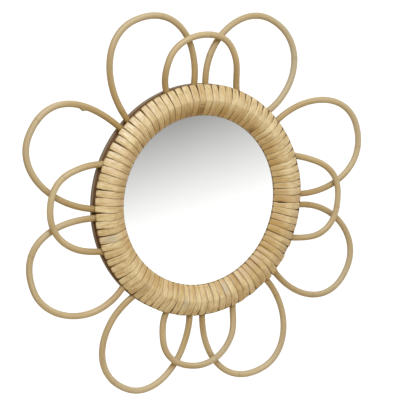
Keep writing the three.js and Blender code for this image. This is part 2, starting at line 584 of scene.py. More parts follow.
@dataclass
class StripGrid:
    """Where the strips lie, for their shades to be worked out from.

    Attributes:
        middle: angle of each strip in radians.
        radius: radius of each row.
        front: how far each row lies on the front, from 0 to 1.
        sideways: distance of every point from its strip's middle line.
        calm: how closely each strip lies on the next, from 0 to 1.
        snug: how low each strip lies in the snug stretch, from 0 to 1.
    """

    middle: np.ndarray
    radius: np.ndarray
    front: np.ndarray
    sideways: np.ndarray
    calm: np.ndarray
    snug: np.ndarray


@dataclass
class PeelShades:
    """Tones, blemishes, wear with painted sheen, and seams darkened by painted shadow and darker cut edges,
    of the winding.

    A band is a pair of radii: where a shade starts, and where it is full.

    Attributes:
        own_tone: mean, spread and most of each strip's own amber tone.
        own_blush: mean, spread and most of each strip's own rosy tone.
        darker: angle, spread and depth of tone of each stretch that is darker, or paler where the depth is
        negative.
        gold: extra tone of the inner slope at gold_angle, which falls to none across the ring.
        deeper_by_glass: deeper tone towards the glass, and how much more of it a calm stretch has.
        worn: how much painted sheen and wear pale the crease, and how much more so a calm stretch is.
        streak: share of the dark streaks that shows outside their band.
        spots: the blemishes.
        slope_seam: darkness of the seams' painted shadow by the glass.
        rough_seam: least darkness of the seams in a rough stretch, and how much of it a calm one loses,
            within a narrower stretch the higher seam_power is.
        seam_chance: least and most that chance leaves of a seam's darkness.
        snug_loss: share of the outer seams' darkness that the snug stretch loses.
        seam_shadow_columns: share of the seams' painted shadow and cut-edge darkness that each column of a
            strip's section takes.
        trailing_shadow_columns: painted shadow that the snug stretch adds to that on the trailing cut edge.
        crevice_shadow: painted shade of the crevice where the winding meets the glass.
    """

    own_tone: tuple[float, float, float] = (0.1, 0.13, 0.5)
    own_blush: tuple[float, float, float] = (-0.05, 0.14, 0.4)
    darker: tuple[tuple[float, float, float], ...] = ((325, 20, 0.34), (105, 24, 0.22), (245, 28, -0.1))
    gold: float = 0.16
    gold_angle: float = 205.0
    gold_band: tuple[float, float] = (136, 126)
    deeper_by_glass: tuple[float, float] = (0.38, 0.14)
    deeper_by_glass_band: tuple[float, float] = (128, 111)
    worn: tuple[float, float] = (0.05, 0.08)
    sheen_radius: float = 129.9
    sheen_spread: float = 4.5
    streak: float = 0.35
    streak_band: tuple[float, float] = (128, 116)
    spots: tuple[Spot, ...] = (
        Spot(Blemish.LEAF_SCAR, 199, 134, 7),
        Spot(Blemish.LEAF_SCAR, 260, 130, 4, 0.7),
        Spot(Blemish.LEAF_SCAR, 287, 120, 5, 0.7),
        Spot(Blemish.STAIN, 51.5, 111, 4, 0.9),
        Spot(Blemish.KNOT, 51.5, 110, 1.5, 0.5, 1.5),
        Spot(Blemish.STAIN, 93, 113, 4, 1.0),
        Spot(Blemish.KNOT, 93, 118, 0.6, 0.6, 3),
        Spot(Blemish.KNOT, 93, 122.5, 0.6, 0.6, 3),
        Spot(Blemish.STAIN, 102, 112, 4, 0.6),
        Spot(Blemish.STAIN, 231.5, 130, 14, 0.4),
        # The spot at 330 degrees darkens the end of a strip at the outer edge.
        Spot(Blemish.STAIN, 330, 143, 3, 0.5),
        Spot(Blemish.KNOT, 232, 141, 1.0, 0.8, 1),
        Spot(Blemish.KNOT, 290.5, 141, 1.0, 0.8, 1),
    )
    edge_band: tuple[float, float] = (129, 141)
    slope_seam: float = 0.9
    slope_band: tuple[float, float] = (126, 115)
    rough_seam: tuple[float, float] = (0.85, 0.75)
    seam_power: int = 3
    foot_band: tuple[float, float] = (110.5, 107.5)
    seam_chance: tuple[float, float] = (0.7, 1.0)
    snug_loss: float = 0.3
    seam_shadow_columns: tuple[float, ...] = (1, 1, 0.9, 0, 0, 0, 0, 0.15, 0.5, 0.5, 0.5, 0.5)
    trailing_shadow_columns: tuple[float, ...] = (0, 0, 0, 0, 0, 0, 0, 0.65, 0.4, 0, 0, 0)
    crevice_shadow: float = 0.45
    rim_band: tuple[float, float] = (108.8, 107.6)

    def tones(self, grid: StripGrid, rng: np.random.Generator) -> dict[str, np.ndarray]:
        """Shades of the strips' faces: each one's own tone, deeper down by the glass, painted sheen on the
        crease, and the blemishes.

        Args:
            grid: where the strips lie.
            rng: source of the strips' own tones.

        Returns:
            The marks that the finish reads, by name.
        """
        degrees = np.degrees(grid.middle)
        zeros = np.zeros(grid.sideways.shape)
        own = []
        for mean, spread, most in (self.own_tone, self.own_blush):
            own.append(np.clip(rng.normal(mean, spread, len(degrees)), 0, most))
        tone, blush = own
        for angle, spread, amount in self.darker:
            tone += amount * bell(degrees, angle, spread)
        golden = self.gold * (1 + np.cos(grid.middle - np.radians(self.gold_angle))) / 2
        golden = golden[:, None] * smoothstep(grid.radius, *self.gold_band)
        deeper_by_glass, worn = (least + more * grid.calm[:, None] for least, more in (self.deeper_by_glass, self.worn))
        deeper_by_glass = deeper_by_glass * smoothstep(grid.radius, *self.deeper_by_glass_band) * grid.front
        # Painted sheen, with some wear, pales the crease.
        worn = worn * bell(grid.radius, self.sheen_radius, self.sheen_spread)
        streak = self.streak + (1 - self.streak) * smoothstep(grid.radius, *self.streak_band)
        marks = {
            "tone": (tone[:, None] + golden + deeper_by_glass)[:, :, None] + zeros,
            "blush": blush[:, None, None] + zeros,
            "worn": worn[:, :, None] + zeros,
            "streak": streak[:, None] + zeros,
        }
        marks |= {kind.value: zeros.copy() for kind in Blemish}
        for spot in self.spots:
            index = nearest(degrees, spot.angle)
            mark = marks[spot.kind.value]
            along = grid.front * bell(grid.radius, spot.radius, spot.length)
            across = bell(grid.sideways[index], 0, spot.width)
            mark[index] = np.maximum(mark[index], spot.strength * along[:, None] * across)
        return marks

    def seams(self, grid: StripGrid, rng: np.random.Generator) -> np.ndarray:
        """Painted seam shadow with darker cut edges: most at the outer edge and by the glass, least where all
        is calm.

        Args:
            grid: where the strips lie.
            rng: source of the seams' unevenness.

        Returns:
            The darkness of every point, from 0 to 1.
        """
        rough, loss = self.rough_seam
        outside = smoothstep(grid.radius, *self.edge_band)
        strong = np.maximum(outside, self.slope_seam * smoothstep(grid.radius, *self.slope_band))
        strong = np.maximum(strong, rough - loss * grid.calm[:, None] ** self.seam_power)
        strong = np.maximum(strong, smoothstep(grid.radius, *self.foot_band))
        strong *= rng.uniform(*self.seam_chance, len(grid.middle))[:, None]
        strong *= 1 - self.snug_loss * grid.snug[:, None] * outside
        shares = np.array(self.seam_shadow_columns) + grid.snug[:, None, None] * np.array(self.trailing_shadow_columns)
        # Painted shade along the crevice where the winding meets the glass.
        rim = self.crevice_shadow * smoothstep(grid.radius, *self.rim_band)
        return np.maximum(strong[:, :, None] * shares, rim[:, None])


@dataclass
class RingSection:
    """Section of the ring: a slope up from the glass, a crease, a rounder slope down to the edge, and a back.

    Attributes:
        crease: radius and depth of the crease; other pairs are the same for their own corners and pulls.
        corner_round: half the length of outline over which a corner is rounded.
        edge_blend: how far below and above the outer edge the front fades in.
        foot_blend: how far above the foot it does.
    """

    foot_radius: float = 107.0
    outer_radius: float = 147.4
    crease: tuple[float, float] = (127.4, 25.3)
    foot_pull: tuple[float, float] = (111.5, 17.5)
    slope_pull: tuple[float, float] = (119.0, 23.0)
    shoulder: tuple[float, float] = (140.0, 22.2)
    edge_depth: float = 15.1
    back: tuple[float, float] = (123.0, 14.6)
    back_inset: float = 2.0
    heel: tuple[float, float] = (118.0, 12.6)
    corner_round: float = 1.1
    edge_blend: tuple[float, float] = (1.5, 2.5)
    foot_blend: float = 3.0
    curve_points: int = 60
    fine_points: int = 801
    front_rows: int = 56
    back_rows: int = 12

    def line(self) -> np.ndarray:
        """Closed outer line of the section.

        A cubic Bezier curve climbs from the glass to the crease, a quadratic one falls over the shoulder to
        the outer edge, and straight lines follow the back and the heel. Every corner is then rounded by a
        running mean.

        Returns:
            Rows of (radius, depth, distance along), close together on the front, without the first again.
        """
        foot = (self.foot_radius, self.heel[1])
        edge = (self.outer_radius, self.edge_depth)
        climb = bezier(np.array([foot, self.foot_pull, self.slope_pull, self.crease]), self.curve_points)
        fall = bezier(np.array([self.crease, self.shoulder, edge]), self.curve_points)
        behind = np.array([(self.outer_radius - self.back_inset, self.back[1]), self.back, self.heel, foot])
        outline = np.concatenate([climb, fall[1:], behind])
        lengths = path_lengths(outline)
        fine = path_at(outline, np.linspace(0, lengths[-1], self.fine_points))
        reach = int(self.corner_round / path_lengths(fine)[1])
        window = np.ones(2 * reach + 1) / (2 * reach + 1)
        loop = np.concatenate([fine[-reach - 1 : -1], fine[:-1], fine[:reach]])
        rounded = np.stack([np.convolve(column, window, mode="valid") for column in loop.T], axis=1)
        closed = np.concatenate([rounded, rounded[:1]])
        whole = path_lengths(closed)[-1]
        turn = whole * lengths[len(climb) + len(fall) - 2] / lengths[-1]
        front = np.linspace(0, turn, self.front_rows, endpoint=False)
        along = np.concatenate([front, np.linspace(turn, whole, self.back_rows, endpoint=False)])
        return np.column_stack([path_at(closed, along), along])

    def outward(self, line: np.ndarray) -> np.ndarray:
        """Directions out of the ring, square to the chord between each point's neighbours.

        Args:
            line: the section's line.

        Returns:
            A unit normal for each of its points.
        """
        step = np.roll(line[:, :2], -1, axis=0) - np.roll(line[:, :2], 1, axis=0)
        normal = np.stack([-step[:, 1], step[:, 0]], axis=1)
        return normal / np.linalg.norm(normal, axis=1, keepdims=True)

    def front(self, line: np.ndarray) -> np.ndarray:
        """How far each row lies on the front.

        Args:
            line: the section's line.

        Returns:
            1 on the front, falling to 0 past the outer edge and at the foot.
        """
        radius, depth = line[:, :2].T
        below, above = self.edge_blend
        outside = smoothstep(depth, self.edge_depth - below, self.edge_depth + above)
        inside = smoothstep(depth, self.heel[1], self.heel[1] + self.foot_blend)
        return np.where(radius < self.crease[0], inside, outside)


@dataclass
class WrappedRing:
    """Ring bound with strips of flat peel, which lap each other towards the glass and part at the outer edge.

    Attributes:
        drift_mean: how far the seams stand from even places in degrees; the drift varies round the ring by
            drift_size, most at drift_angle, and by a small sway from strip to strip.
        touch_radius: radius where two strips just touch, lower at the top by touch_drop, spread by chance.
        curl: how much wider the gaps are at the outer edge, spread by chance; a rough stretch has only the
            share curl_rough of it.
        calm_angle: angle of the stretch where the strips lie evenly, and closely on each other; it is
            narrower the higher calm_power is.
        calm_share: share of the unevenness that the calm stretch loses.
        calm_level: share of the rise that it loses at the crease, and calm_reach is how far from there.
        snug_angle: angle of the stretch where the trailing edges rise less, by the share snug_level.
        wide_seams: angle of each seam that gapes, and the radius from which it does.
        slit: angle of the seam that has slipped open on the inner slope, its radius, half length and width.
        tongues: angle of each strip that sticks out at the edge, how far, and how much its corners droop.
        end_radius: radius from which a strip's end curls, sticks out and droops.
        columns_across: place of each column of a strip's section, from -1 at the leading edge to 1.
        columns_lift: height of each column in thicknesses; the first face_columns are on the face.
        least_cover: least distance of the seam's shadow line from the leading edge, in half widths.
        line_steps: places of that line past the strip before, which line_swing widens at the right and
            narrows at the left.
        rise: how far the trailing edge stands up where it laps the next strip, and rise_apart is the share
            of it where they part. Between the two gaps of lap_range it goes from one to the other.
        sink: how far a strip's edges lie under the section's line, which its crown rises above.
        bed_clearance: gap between the strips and the bed under them.
        proud_spread: how far chance lifts or lowers a strip.
        waves: height and length of the sways in a strip's line.
        tilt_reach: distance from the crease at which a strip's tilt is measured.
    """

    section: RingSection = field(default_factory=RingSection)
    shades: PeelShades = field(default_factory=PeelShades)
    strip_count: int = 90
    drift_mean: float = 1.9
    drift_size: float = 1.5
    drift_angle: float = 148.0
    sway_angle: float = 0.15
    sway_rate: float = 2.6
    touch_radius: float = 140.0
    touch_drop: float = 2.5
    touch_spread: float = 2.0
    curl: float = 0.81
    curl_spread: float = 0.45
    curl_rough: float = 0.55
    calm_angle: float = 55.0
    calm_power: int = 3
    calm_share: float = 0.75
    calm_level: float = 0.6
    calm_reach: float = 7.0
    snug_angle: float = 285.0
    snug_spread: float = 38.0
    snug_level: float = 0.4
    wide_seams: tuple[tuple[float, float], ...] = (
        (141, 127), (148, 128), (170.6, 129), (196, 122), (254, 129), (316.5, 146), (336.8, 130))
    slit: tuple[float, float, float, float] = (357.8, 114, 6, 3.2)
    tongues: tuple[tuple[float, float, float], ...] = (
        (318, 3.5, 0.84), (313.5, 2.5, 0.84), (336, 1.4, 0), (328, 1.4, 0), (323.5, 1.0, 0))
    end_radius: float = 136.0
    columns_across: tuple[float, ...] = (-1, 0, 0, 0, 0, 0.45, 0.8, 0.97, 1, 0.9, 0, -0.9)
    columns_lift: tuple[float, ...] = (-0.5, -0.12, 0, 0, 0, 0, 0, -0.12, -0.5, -1, -1, -1)
    face_columns: int = 9
    least_cover: float = 0.03
    line_steps: tuple[float, float, float] = (0, 0.06, 0.2)
    line_swing: float = 0.5
    thickness: float = 0.7
    crown: float = 0.55
    rise: float = 0.9
    rise_apart: float = 0.3
    lap_range: tuple[float, float] = (0.3, -0.6)
    sink: float = 0.3
    bed_clearance: float = 0.2
    proud_spread: float = 0.15
    reach_spread: float = 0.3
    tilt_spread: float = 0.2
    tilt_reach: float = 20.0
    waves: tuple[tuple[float, float], ...] = ((0.15, 9), (0.08, 4))
    seed: int = 11
    bed_columns: int = 180

    def calm(self, angle: np.ndarray) -> np.ndarray:
        """How closely the strips lie on each other at an angle in radians: 1 at the calm angle, 0 across."""
        return ((1 + np.cos(angle - np.radians(self.calm_angle))) / 2) ** self.calm_power

    def seams(self, radius: np.ndarray, rng: np.random.Generator) -> tuple[np.ndarray, np.ndarray]:
        """Where the strips start, and how far each stands from the one before it.

        Strips of one width lap inside the radius where they just touch and part outside it, by the pitch
        angle times the distance from that radius.

        Args:
            radius: radii at which the gaps are wanted.
            rng: source of the hand's unevenness.

        Returns:
            The angle of each seam in radians, and its gap at each radius in millimetres, negative for a lap.
        """
        turn = np.arange(self.strip_count)
        even = 360 / self.strip_count * turn
        drift = self.drift_mean + self.drift_size * np.cos(np.radians(even - self.drift_angle))
        degrees = even + drift + self.sway_angle * np.sin(self.sway_rate * turn)
        start = np.radians(degrees)
        calm = self.calm(start)
        uneven = 1 - self.calm_share * calm
        touch = self.touch_radius - self.touch_drop * np.sin(start)
        touch += rng.normal(0, self.touch_spread, self.strip_count) * uneven
        for angle, opening in self.wide_seams:
            touch[nearest(degrees, angle)] = opening
        gap = FULL_TURN / self.strip_count * (radius - touch[:, None])
        curl = self.curl + rng.uniform(-self.curl_spread, self.curl_spread, self.strip_count) * uneven
        curl *= self.curl_rough + (1 - self.curl_rough) * calm
        gap += curl[:, None] * smoothstep(radius, self.end_radius, self.section.outer_radius)
        angle, middle, length, width = self.slit
        gap[nearest(degrees, angle)] += width * bell(radius, middle, length)
        return start, gap

    def ends(self, degrees: np.ndarray, rng: np.random.Generator) -> tuple[np.ndarray, np.ndarray]:
        """How far each strip sticks out at the outer edge, and how much its corners droop there.

        Args:
            degrees: angle of each strip.
            rng: source of the strips' own lengths.

        Returns:
            Both in millimetres: chance gives most of the lengths, and the tongues have their own.
        """
        reach = rng.normal(0, self.reach_spread, self.strip_count)
        droop = np.zeros(self.strip_count)
        for angle, length, slack in self.tongues:
            index = nearest(degrees, angle)
            reach[index] = length
            droop[index] = slack
        return reach, droop

    def across(self, gap: np.ndarray, half: np.ndarray, middle: np.ndarray) -> np.ndarray:
        """Place of every column across its strip, from -1 at the leading edge to 1 at the trailing one.

        The three columns of the shadow line follow the edge of the strip before, and the next column lies
        halfway from there to the middle.

        Args:
            gap: gap before each strip at each row, negative for a lap.
            half: half the strip's width there.
            middle: angle of each strip in radians.

        Returns:
            The places, shaped (strips, rows, columns).
        """
        places = np.broadcast_to(self.columns_across, (*gap.shape, len(self.columns_across))).copy()
        covered = -1 + np.maximum(-gap / half, self.least_cover)
        wide = 1 + self.line_swing * np.cos(middle)
        places[:, :, 1:4] = covered[:, :, None] + wide[:, None, None] * np.array(self.line_steps)
        places[:, :, 4] = places[:, :, 3] / 2
        return places

    def strips(self) -> Surface:
        """Strips of peel, each a closed band round the section.

        A strip reaches from half the gap after one seam to half the gap before the next. Its face is crowned
        across, its trailing edge rises where it laps the next strip, and its line sways and tilts a little.

        Returns:
            One patch for each strip, rows along it and columns round its own section.
        """
        rng = np.random.default_rng(self.seed)
        crease = self.section.crease[0]
        line = self.section.line()
        normal = self.section.outward(line)
        front = self.section.front(line)
        radius, depth, along = line.T
        start, gap = self.seams(radius, rng)
        next_start = np.append(start[1:], start[0] + FULL_TURN)
        next_gap = np.roll(gap, -1, axis=0)
        first = start[:, None] + gap / (2 * radius)
        last = next_start[:, None] - next_gap / (2 * radius)
        half = radius * (last - first) / 2
        middle = ((first + last) / 2).mean(axis=1)
        calm = self.calm(middle)
        snug = bell(np.degrees(middle), self.snug_angle, self.snug_spread)
        tilt = np.radians(rng.normal(0, self.tilt_spread, self.strip_count)) * (1 - self.calm_share * calm)
        proud = rng.uniform(-self.proud_spread, self.proud_spread, self.strip_count)
        reach, droop = self.ends(np.degrees(middle), rng)
        phases = rng.uniform(0, FULL_TURN, (len(self.waves), self.strip_count))
        shift = rng.uniform(0, STEM_LENGTH, self.strip_count)
        across = self.across(gap, half, middle)
        lift = np.array(self.columns_lift) * self.thickness - self.sink
        on_face = np.arange(len(lift)) < self.face_columns
        crowned = self.crown * np.where(on_face, 1 - across**2, 0)
        level = 1 - self.calm_level * calm[:, None] * bell(radius, crease, self.calm_reach)
        level -= self.snug_level * snug[:, None]
        lapped = self.rise_apart + (1 - self.rise_apart) * smoothstep(next_gap, *self.lap_range)
        rising = (self.rise * lapped * front * level)[:, :, None] * (1 + across) / 2
        height = lift + crowned + rising + (proud[:, None] * front)[:, :, None]
        sways = zip(self.waves, phases)
        wave = sum(size * np.sin(along / length + phase[:, None]) for (size, length), phase in sways)
        sideways = half[:, :, None] * across + wave[:, :, None]
        angle = (first + last) / 2 + tilt[:, None] * (radius - crease) / self.tilt_reach
        end = smoothstep(radius, self.end_radius, self.section.outer_radius)
        out = radius[:, None] + normal[:, :1] * height + (reach[:, None] * end)[:, :, None]
        deep = depth[:, None] + normal[:, 1:] * height - (droop[:, None] * end)[:, :, None] * across**2
        cos, sin = np.cos(angle)[:, :, None], np.sin(angle)[:, :, None]
        points = np.stack([out * cos - sideways * sin, deep, out * sin + sideways * cos], axis=-1)
        grid = StripGrid(middle, radius, front, sideways, calm, snug)
        far = shift[:, None, None] + np.zeros(height.shape)
        marks = self.shades.tones(grid, rng)
        marks["grain"] = np.stack([sideways + far, along[:, None] + far, height], axis=-1)
        # The edge mark is painted shadow along the seams, together with the darker cut edges.
        marks["edge"] = self.shades.seams(grid, rng)
        return Surface(points, True, marks, PeelSide.STRIPS.value)

    def bed(self) -> Surface:
        """The winding's ground: the section drawn in to just under the strips and turned about Y.

        Returns:
            One patch, rows round the section and columns round the ring.
        """
        line = self.section.line()
        inset = self.thickness + self.sink + self.bed_clearance
        points = turned(line[:, :2] - self.section.outward(line) * inset, self.bed_columns)
        return Surface(points, True, {"grain": 0 * points}, PeelSide.BED.value)

    def build(self) -> bpy.types.Object:
        """Make the ring and dress it.

        Returns:
            The piece.
        """
        finishes = [RattanPeel().material(), RingBed().material()]
        piece = make_piece("ring_winding", [self.strips(), self.bed()], finishes)
        return place(piece, "wrapped_ring")


@dataclass(frozen=True)
class Bend:
    """How a kind of loop bends: the pulls of its curves at the feet and the tip, and its step forward."""

    foot_pull: float
    tip_pulls: tuple[float, float]
    forward: float


class LoopKind(Enum):
    """The two kinds of loop: large ones behind, small ones in front."""

    LARGE = Bend(foot_pull=56, tip_pulls=(57, 43), forward=-1)
    SMALL = Bend(foot_pull=52, tip_pulls=(30, 25), forward=7.4)


@dataclass
class CaneLoop:
    """One bent cane: two feet between board and ring, and a petal between them.

    Attributes:
        node: name of its solid.
        kind: how it bends.
        axis: direction of the petal in degrees.
        reach: distance of its tip from the ring's centre.
        lean: how far the tip lies to the side of the axis.
        feet: angle of each foot from the axis in degrees.
        turns: how far each foot's direction turns away from the axis past that.
        tone: how brown the cane is.
        bleach: how greyish it is where it is bleached most.
        bleach_at: where that is, as a share of its length; bleach_spread is half the width of the stretch,
            and bleach_rest the share of the bleach elsewhere.
        stub: where the stub of a twig sticks out, as a share of its length; a higher stub_power makes it
            narrower round the cane.
        foot_shadows: painted shade on each foot, as how much browner it is, which fades over
            foot_shadow_fade.
        foot_circle: radius at which the feet come out from under the ring, with foot_hidden under it.
        level_circle: radius past which a loop has made its whole step forward or back.
        first_node: least and most distance of the first node of the stem from the cane's end.
        node_spacing: least and most distance between two nodes.
        node_swell: how much thicker the cane is at a node, as a share of its radius.
        scar: darkness of the line just past each node.
        swells: size, as a share of the radius, and length of the slow swells of the stem.
    """

    node: str
    kind: LoopKind
    axis: float
    reach: float
    lean: float
    feet: tuple[float, float]
    turns: tuple[float, float]
    tone: float = 0.1
    bleach: float = 0.35
    bleach_at: float = 0.5
    stub: float = NO_STUB
    foot_shadows: tuple[float, float] = (0.5, 0.5)
    foot_shadow_fade: float = 45.0
    bleach_spread: float = 0.15
    bleach_rest: float = 0.4
    stub_height: float = 2.2
    stub_spread: float = 2.5
    stub_power: int = 6
    cane_radius: float = 4.0
    cane_depth: float = 10.3
    foot_circle: float = 150.0
    foot_hidden: float = 18.0
    level_circle: float = 185.0
    first_node: tuple[float, float] = (60, 150)
    node_spacing: tuple[float, float] = (150, 210)
    node_count: int = 3
    node_swell: float = 0.03
    node_spread: float = 2.5
    scar: float = 0.25
    scar_offset: float = 1.5
    scar_spread: float = 0.8
    swells: tuple[tuple[float, float], ...] = ((0.015, 35), (0.01, 13))
    curve_points: int = 200
    rows: int = 220
    columns: int = 16

    def path(self) -> tuple[np.ndarray, np.ndarray]:
        """Centre line: straight feet, and a cubic Bezier curve from each foot to the tip.

        Returns:
            Evenly spaced places as (x, depth, z), and the distance along.
        """
        bend = self.kind.value
        tip = np.array([self.reach, self.lean])
        halves = []
        sides = zip((-1, 1), np.radians(self.feet), np.radians(self.turns), bend.tip_pulls)
        for side, foot_angle, turn, pull in sides:
            heading = foot_angle + turn
            foot = self.foot_circle * np.array([np.cos(foot_angle), side * np.sin(foot_angle)])
            out = np.array([np.cos(heading), side * np.sin(heading)])
            corners = np.array([foot, foot + bend.foot_pull * out, tip + (0, side * pull), tip])
            curve = bezier(corners, self.curve_points)
            halves.append(np.concatenate([[foot - self.foot_hidden * out], curve]))
        outline = np.concatenate([halves[0], halves[1][-2::-1]])
        along = np.linspace(0, path_lengths(outline)[-1], self.rows)
        flat = path_at(outline, along)
        axis = np.radians(self.axis)
        x = flat[:, 0] * np.cos(axis) - flat[:, 1] * np.sin(axis)
        z = flat[:, 0] * np.sin(axis) + flat[:, 1] * np.cos(axis)
        away = smoothstep(np.hypot(x, z), self.foot_circle, self.level_circle)
        return np.stack([x, self.cane_depth + bend.forward * away, z], axis=1), along

    def tube(self, rng: np.random.Generator) -> Surface:
        """Round skin along the centre line, with slow swells and a low ring at each node of the stem.

        Args:
            rng: source of the loop's own unevenness.

        Returns:
            One patch, rows along the cane and columns round it.
        """
        line, along = self.path()
        tangent = np.gradient(line, axis=0)
        tangent /= np.linalg.norm(tangent, axis=1, keepdims=True)
        side = np.cross(tangent, np.array([0.0, 1.0, 0.0]))
        side /= np.linalg.norm(side, axis=1, keepdims=True)
        front = np.cross(side, tangent)
        nodes = rng.uniform(*self.first_node) + np.arange(self.node_count) * rng.uniform(*self.node_spacing)
        phases = rng.uniform(0, FULL_TURN, len(self.swells))
        shift = rng.uniform(0, STEM_LENGTH)
        swells = zip(self.swells, phases)
        swell = sum(size * np.sin(along / length + phase) for (size, length), phase in swells)
        swell += self.node_swell * sum(bell(along, node, self.node_spread) for node in nodes)
        turn = np.linspace(0, FULL_TURN, self.columns, endpoint=False)
        radius = (self.cane_radius * (1 + swell))[:, None, None]
        circle = side[:, None] * np.cos(turn)[:, None] + front[:, None] * np.sin(turn)[:, None]
        twig = bell(along, self.stub * along[-1], self.stub_spread)[:, None]
        twig = twig * np.maximum(np.cos(turn), 0) ** self.stub_power
        points = line[:, None] + (radius + self.stub_height * twig[:, :, None]) * circle
        return Surface(points[None], False, self.marks(along, turn, twig, nodes, shift))

    def marks(self, along: np.ndarray, turn: np.ndarray, twig: np.ndarray, nodes: np.ndarray,
              shift: float) -> dict[str, np.ndarray]:
        """Shades of the cane: painted shade on the feet, a bleached stretch, and a dark line at each node.

        Args:
            along: distance of each row along the cane.
            turn: angle of each column round it in radians.
            twig: how far every point lies on the stub, from 0 to 1.
            nodes: distance of each node along the cane.
            shift: where along the stem the cane's grain starts.

        Returns:
            The marks that the finish reads, by name.
        """
        shape = twig.shape
        # Painted shade on the feet where they run under the ring, fading past it.
        to_ends = zip(self.foot_shadows, (along, along[-1] - along))
        feet = []
        for tone, far in to_ends:
            feet.append(tone * np.exp(-np.maximum(far - self.foot_hidden, 0) / self.foot_shadow_fade))
        foot = np.maximum(*feet)
        stretch = bell(along / along[-1], self.bleach_at, self.bleach_spread)
        # A foot whose painted shade is a half isn't bleached at all.
        fade = self.bleach * (1 - 2 * foot) * (self.bleach_rest + (1 - self.bleach_rest) * stretch)
        scar = self.scar * sum(bell(along, node + self.scar_offset, self.scar_spread) for node in nodes)
        grain = np.stack([
            np.broadcast_to(self.cane_radius * np.cos(turn), shape),
            np.broadcast_to(along[:, None] + shift, shape),
            np.broadcast_to(self.cane_radius * np.sin(turn), shape)], axis=-1)
        # The tone mark holds the cane's own tone and the painted shade of its feet.
        return {
            "grain": grain[None],
            "tone": np.broadcast_to((self.tone + foot)[:, None], shape)[None],
            "bleach": np.maximum(fade[:, None], twig)[None],
            "scar": np.broadcast_to(scar[:, None], shape)[None],
        }

    def build(self, finish: bpy.types.Material, rng: np.random.Generator) -> bpy.types.Object:
        """Make the loop and dress it."""
        piece = make_piece(self.node.replace("loop", "petal"), [self.tube(rng)], [finish])
        return place(piece, self.node)


@dataclass
class Petals:
    """All the cane loops, each bent by hand to its own size."""

    seed: int = 5
    loops: tuple[CaneLoop, ...] = (
        CaneLoop("large_loop_1", LoopKind.LARGE, 22.5, 250.5, -5, (22, 19), (1, -4)),
        CaneLoop("large_loop_2", LoopKind.LARGE, 67.5, 246.5, -1, (19, 21), (14, 1),
                 tone=0.2, bleach=0.7, bleach_at=0.25, foot_shadows=(0.2, 0.5)),
        CaneLoop("large_loop_3", LoopKind.LARGE, 112.5, 244, 2, (18, 22), (10, -8), tone=0.3),
        CaneLoop("large_loop_4", LoopKind.LARGE, 157.5, 248, 7, (17.5, 23.5), (-1, -8),
                 tone=0.25, stub=0.225),
        CaneLoop("large_loop_5", LoopKind.LARGE, 202.5, 244.5, 6, (17, 22), (3, 9),
                 tone=0, bleach_at=0.3),
        CaneLoop("large_loop_6", LoopKind.LARGE, 247.5, 253, 1, (16, 18.5), (16, 2), tone=0.02),
        CaneLoop("large_loop_7", LoopKind.LARGE, 292.5, 248.5, 7, (19.5, 20.5), (0, 2),
                 tone=0, bleach=0.4, bleach_at=0.6),
        CaneLoop("large_loop_8", LoopKind.LARGE, 337.5, 250.5, -5.5, (18.5, 17.5), (9, 5),
                 tone=0.2, bleach=0.5, bleach_at=0.42),
        CaneLoop("small_loop_right", LoopKind.SMALL, 0, 204, -3, (22, 20), (-17, -30),
                 tone=0, bleach=0.3, bleach_at=0.2),
        CaneLoop("small_loop_top", LoopKind.SMALL, 90, 208, -1, (19, 20), (-24, -4),
                 tone=0.15, bleach=0.15),
        CaneLoop("small_loop_left", LoopKind.SMALL, 180, 207, 2, (20, 22), (-22, -25),
                 tone=0, bleach=0.25, bleach_at=0.28),
        CaneLoop("small_loop_bottom", LoopKind.SMALL, 270, 211.5, -1, (17.5, 20.5), (6, -18),
                 tone=0, bleach=0.5, bleach_at=0.72),
    )

    def build(self) -> list[bpy.types.Object]:
        """Make every loop in order and dress it.

        Returns:
            The pieces, in the same order.
        """
        rng = np.random.default_rng(self.seed)
        finish = RattanCane().material()
        return [loop.build(finish, rng) for loop in self.loops]


@dataclass
class Disc:
    """Flat round plate with rounded edges, turned about Y."""

    radius: float
    back: float
    front: float
    edge_round: float
    edge_rows: int = 5
    columns: int = 192

    def surface(self) -> Surface:
        """Skin of the plate: a quarter circle at each edge of its rim, and a cap on each face.

        Returns:
            One patch, rows from front to back and columns round the rim, with a rim mark that rises to 1
            halfway out along the rounding.
        """
        inner = self.radius - self.edge_round
        turn = np.linspace(0, np.pi / 2, self.edge_rows)
        bend = self.edge_round * np.stack([np.sin(turn), np.cos(turn)], axis=1)
        front = np.array([inner, self.front - self.edge_round]) + bend
        back = np.array([inner, self.back + self.edge_round]) + bend[::-1] * (1, -1)
        profile = np.concatenate([front, back])
        points = turned(profile, self.columns)
        rim = smoothstep(profile[:, :1], inner, (inner + self.radius) / 2)
        return Surface(points, False, {"rim": np.broadcast_to(rim, points.shape[:3])})


@dataclass
class BackingBoard:
    """Round board that carries everything and lies flat on the wall."""

    plate: Disc = field(default_factory=lambda: Disc(radius=147, back=0, front=6, edge_round=1.0))

    def build(self) -> bpy.types.Object:
        """Make the board and dress it."""
        piece = make_piece("stained_backing_board", [self.plate.surface()], [StainedBoard().material()])
        return place(piece, "backing_board")


@dataclass
class MirrorGlass:
    """Round mirror, held down by the ring all round."""

    plate: Disc = field(default_factory=lambda: Disc(radius=113, back=6.3, front=12.3, edge_round=0.8))

    def build(self) -> bpy.types.Object:
        """Make the glass and dress it."""
        piece = make_piece("silvered_glass", [self.plate.surface()], [SilveredGlass().material()])
        return place(piece, "mirror_glass")


